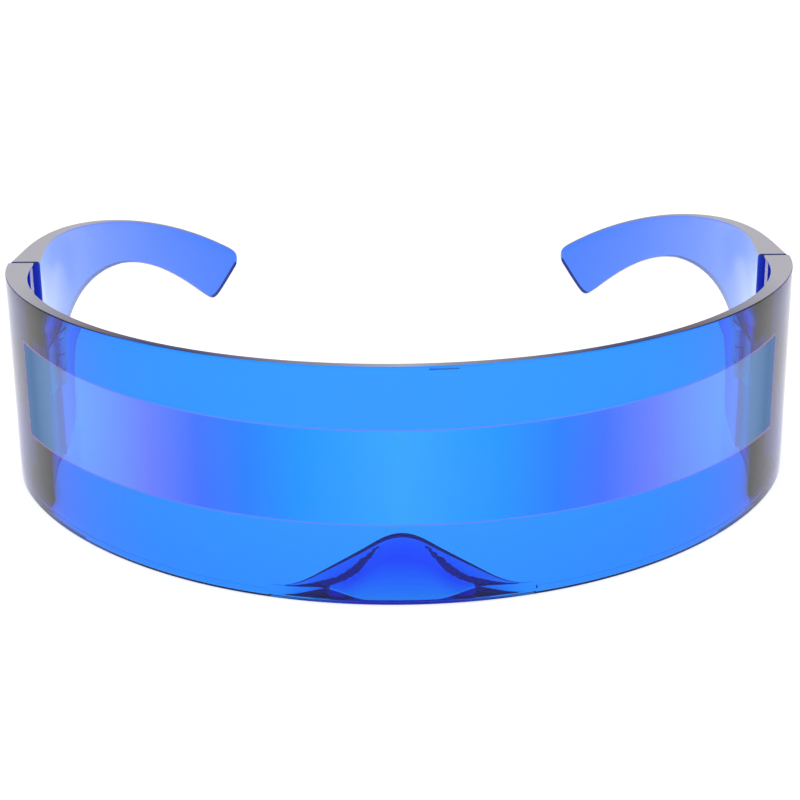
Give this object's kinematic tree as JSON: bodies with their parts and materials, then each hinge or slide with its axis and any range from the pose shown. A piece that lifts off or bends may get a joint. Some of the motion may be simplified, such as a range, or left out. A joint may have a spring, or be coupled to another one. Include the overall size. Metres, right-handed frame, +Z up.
{
  "type": "sunglasses",
  "caption": "One-piece wraparound shield visor sunglasses with a moulded-in nose saddle and tall folding temples on small metal hinges",
  "frame": {"origin": "under the middle of the object's bounding box, on the surface it stands on", "axes": "+Z up, the shield faces -Y, +X is the wearer's left"},
  "size_m": [0.145, 0.13, 0.0384],
  "materials": {
    "shield_plastic": "clear blue moulded plastic with a blue mirror coating and a lighter mirror band",
    "temple_plastic": "clear blue moulded plastic, polished",
    "hinge_steel": "stamped steel, fine brushing",
    "screw_steel": "bright steel screw"
  },
  "bodies": {
    "front": {"shield": "shield_plastic", "hinge_front_leaf_left": "hinge_steel", "hinge_front_leaf_right": "hinge_steel", "hinge_screw_left": "screw_steel", "hinge_screw_right": "screw_steel"},
    "left_temple": {"temple_left": "temple_plastic", "hinge_temple_leaf_left": "hinge_steel"},
    "right_temple": {"temple_right": "temple_plastic", "hinge_temple_leaf_right": "hinge_steel"}
  },
  "joints": [
    {"name": "left_temple_fold", "type": "hinge", "parent": "front", "child": "left_temple", "pos_m": [0.0664, 0.00175, 0.0192], "axis": [0, 0, 1], "range_deg": [0, 90]},
    {"name": "right_temple_fold", "type": "hinge", "parent": "front", "child": "right_temple", "pos_m": [-0.0664, 0.00175, 0.0192], "axis": [0, 0, -1], "range_deg": [0, 90]}
  ]
}
